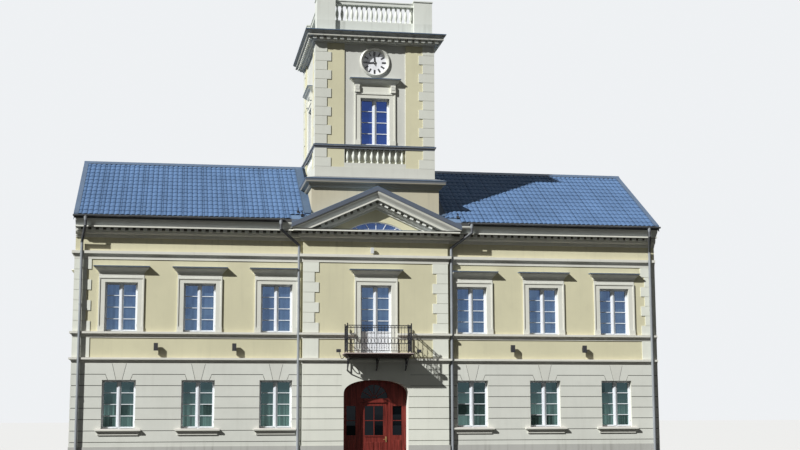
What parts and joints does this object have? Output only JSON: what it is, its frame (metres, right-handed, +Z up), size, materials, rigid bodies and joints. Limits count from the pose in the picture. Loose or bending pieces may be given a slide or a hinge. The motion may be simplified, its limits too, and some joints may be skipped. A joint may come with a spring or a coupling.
{
  "type": "town hall building",
  "caption": "Plastered town hall of two storeys with a tiled gable roof, a pedimented centre bay with an arched entrance and a balcony, and a clock tower with a balustraded top.",
  "frame": {"origin": "on the ground, at the middle of the building's footprint between its outer walls", "axes": "+X along the front to the right as seen from the square, +Y from the front to the back, +Z up"},
  "size_m": [23.76, 10.5253, 19.155],
  "materials": {
    "plaster_yellow": "matte painted plaster",
    "plaster_white": "matte painted plaster",
    "plinth_stone": "matte plaster",
    "floor_slab": "matte",
    "roof_tiles": "satin blue-grey",
    "zinc": "satin grey",
    "drain_metal": "satin pale grey",
    "white_joinery": "white gloss paint",
    "window_glass": "clear, dark behind",
    "brown_joinery": "red-brown varnish",
    "brass_fitting": "worn",
    "dark_iron": "black paint",
    "dial_white": "satin white",
    "balcony_stone": "stained concrete"
  },
  "bodies": {
    "building": {"plinth": "plinth_stone", "front_wings": "plaster_yellow", "entrance_piers": "plaster_white", "entrance_arch": "plaster_white", "centre_wall": "plaster_yellow", "back_wall": "plaster_yellow", "end_walls": "plaster_yellow", "floors": "floor_slab", "rustication_wings": "plaster_white", "rustication_centre": "plaster_white", "belts": "plaster_white", "main_cornice": "plaster_white", "dentils": "plaster_white", "tympanum": "plaster_yellow", "raking_cornice": "plaster_white", "pediment_roof": "roof_tiles", "wall_quoins": "plaster_white", "tower_quoins": "plaster_white", "window_surrounds": "plaster_white", "window_hoods": "plaster_white", "window_sills": "plaster_white", "keystones": "plaster_white", "upper_window_frames": "white_joinery", "ground_window_frames": "white_joinery", "upper_glass": "window_glass", "ground_glass": "window_glass", "roof_front": "roof_tiles", "roof_back": "roof_tiles", "roof_trim": "roof_tiles", "gutters": "zinc", "downpipes": "drain_metal", "tower_base": "plaster_yellow", "tower_ledges": "zinc", "tower_pedestal": "plaster_yellow", "tower_shaft": "plaster_yellow", "tower_panels": "plaster_white", "niche_balusters": "plaster_white", "tower_cornice": "plaster_white", "tower_deck": "zinc", "parapet_sides": "plaster_white", "parapet_piers": "plaster_white", "parapet_rails": "plaster_white", "clock_dial": "dial_white", "balcony_slab": "balcony_stone", "balcony_railing": "dark_iron", "balcony_irons": "dark_iron", "balcony_door": "white_joinery", "entrance_frame": "brown_joinery", "wall_lamps": "dark_iron"},
    "door": {"entrance_door": "brown_joinery", "door_glass": "window_glass", "door_handle": "brass_fitting"},
    "hour_hand": {"clock_hour_hand": "dark_iron"},
    "minute_hand": {"clock_minute_hand": "dark_iron"}
  },
  "joints": [
    {"name": "door_swing", "type": "hinge", "parent": "building", "child": "door", "pos_m": [-0.55, -3.895, 0.4], "axis": [0, 0, 1], "range_deg": [0, 95]},
    {"name": "minute_hand_turn", "type": "hinge", "parent": "building", "child": "minute_hand", "pos_m": [0, -4.21, 16.48], "axis": [0, -1, 0], "continuous": true},
    {"name": "hour_hand_turn", "type": "hinge", "parent": "building", "child": "hour_hand", "pos_m": [0, -4.21, 16.48], "axis": [0, -1, 0], "continuous": true}
  ],
  "couplings": [
    {"joint": "hour_hand_turn", "follows": "minute_hand_turn", "ratio": 0.083333}
  ]
}
